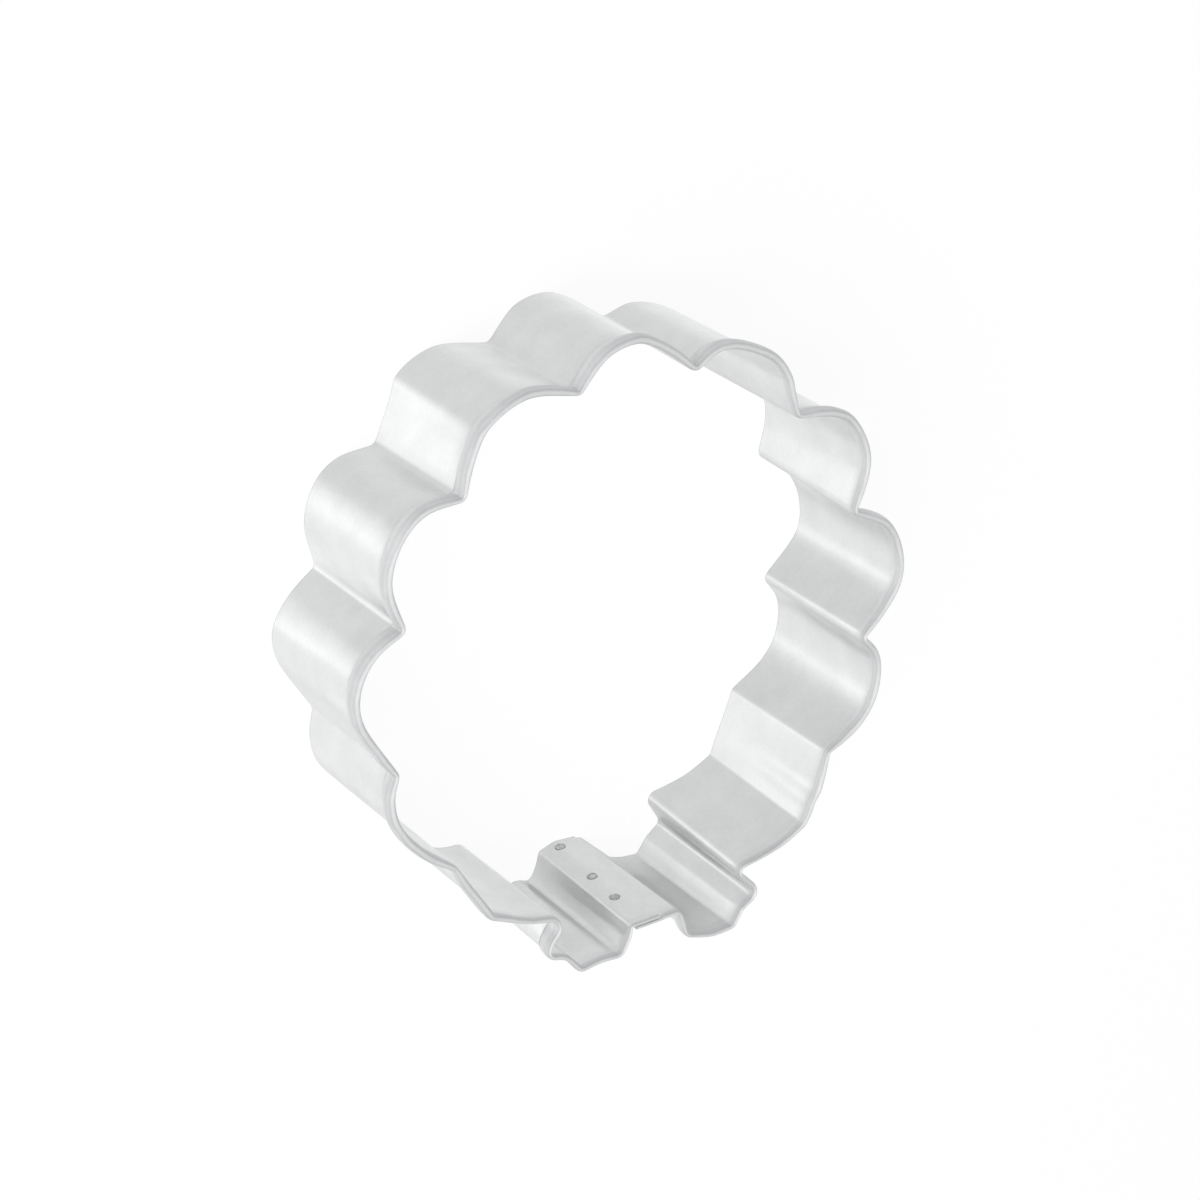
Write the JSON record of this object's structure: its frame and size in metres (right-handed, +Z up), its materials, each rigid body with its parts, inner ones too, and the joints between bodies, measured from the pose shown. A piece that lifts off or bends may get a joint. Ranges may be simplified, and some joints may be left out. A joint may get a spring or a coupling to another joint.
{
  "type": "cookie cutter",
  "caption": "Turkey-shaped tinplate cookie cutter: a bent band with a plain cutting edge, an outward rolled rim and lapped, spot-welded ends.",
  "frame": {"origin": "centre of the footprint at the plane of the cutting edge, on which the cutter stands", "axes": "+Z up from the cutting edge to the rolled rim, +Y towards the top of the turkey's tail, +X to the right seen from above"},
  "size_m": [0.0876, 0.0923, 0.0254],
  "materials": {
    "tinplate": "satin",
    "weld": "satin"
  },
  "bodies": {
    "root": {"band": "tinplate", "spot_weld_1": "weld", "spot_weld_2": "weld", "spot_weld_3": "weld"}
  },
  "joints": []
}
